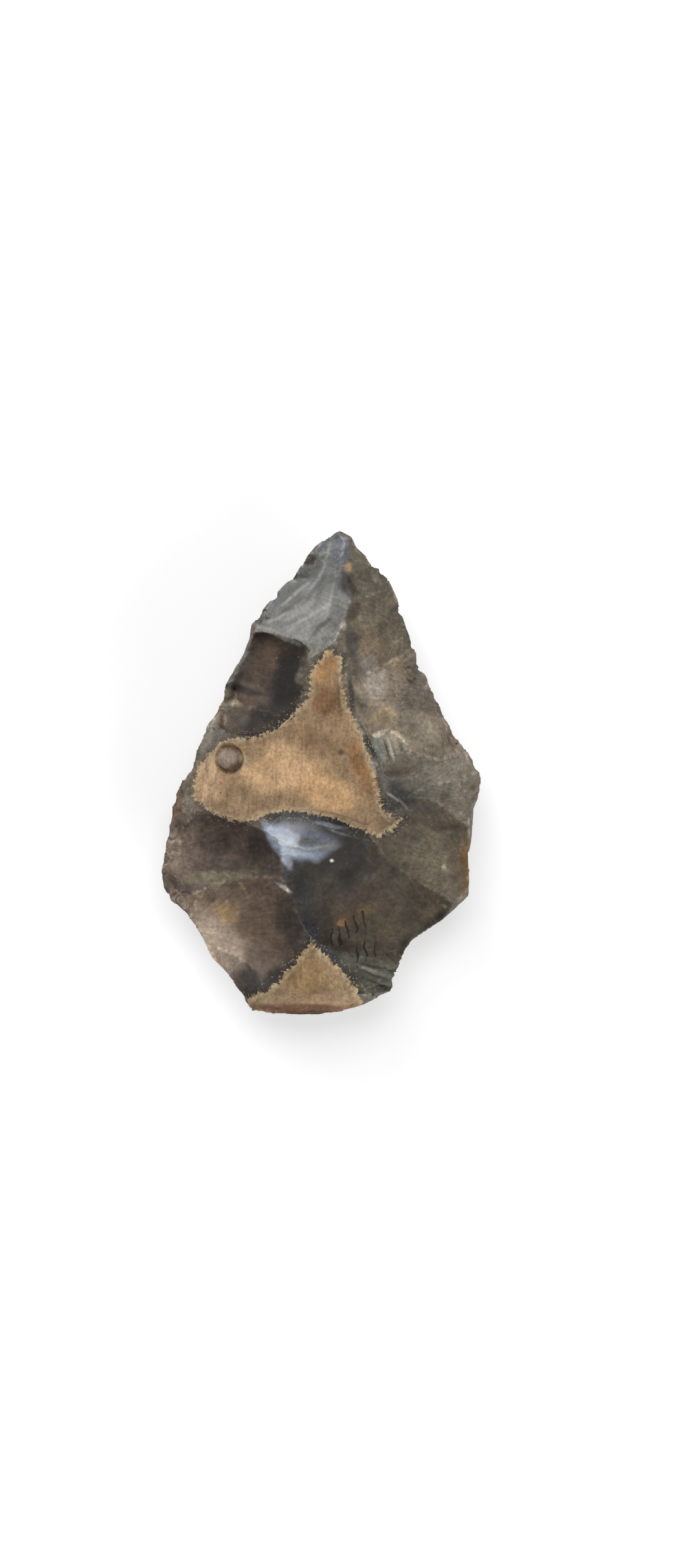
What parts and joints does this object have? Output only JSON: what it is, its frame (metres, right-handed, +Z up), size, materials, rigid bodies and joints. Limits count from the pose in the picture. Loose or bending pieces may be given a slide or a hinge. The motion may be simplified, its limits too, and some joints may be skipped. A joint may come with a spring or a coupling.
{
  "type": "stone hand axe",
  "caption": "Pointed oval hand axe chipped from a flint nodule, with scars all round its edge and a patch of nodule skin left on the front. It lies on its back face.",
  "frame": {"origin": "on the ground, below the middle of the axe's length and width", "axes": "+Y towards the tip, +X to the right of the axe seen from its front face, +Z up out of its front face"},
  "size_m": [0.0796, 0.12, 0.0308],
  "materials": {
    "flint": "chipped flint with a soft gloss, dark brown to blue-grey, under a matt tan nodule skin in two patches on the front"
  },
  "bodies": {
    "root": {"hand_axe": "flint"}
  },
  "joints": []
}
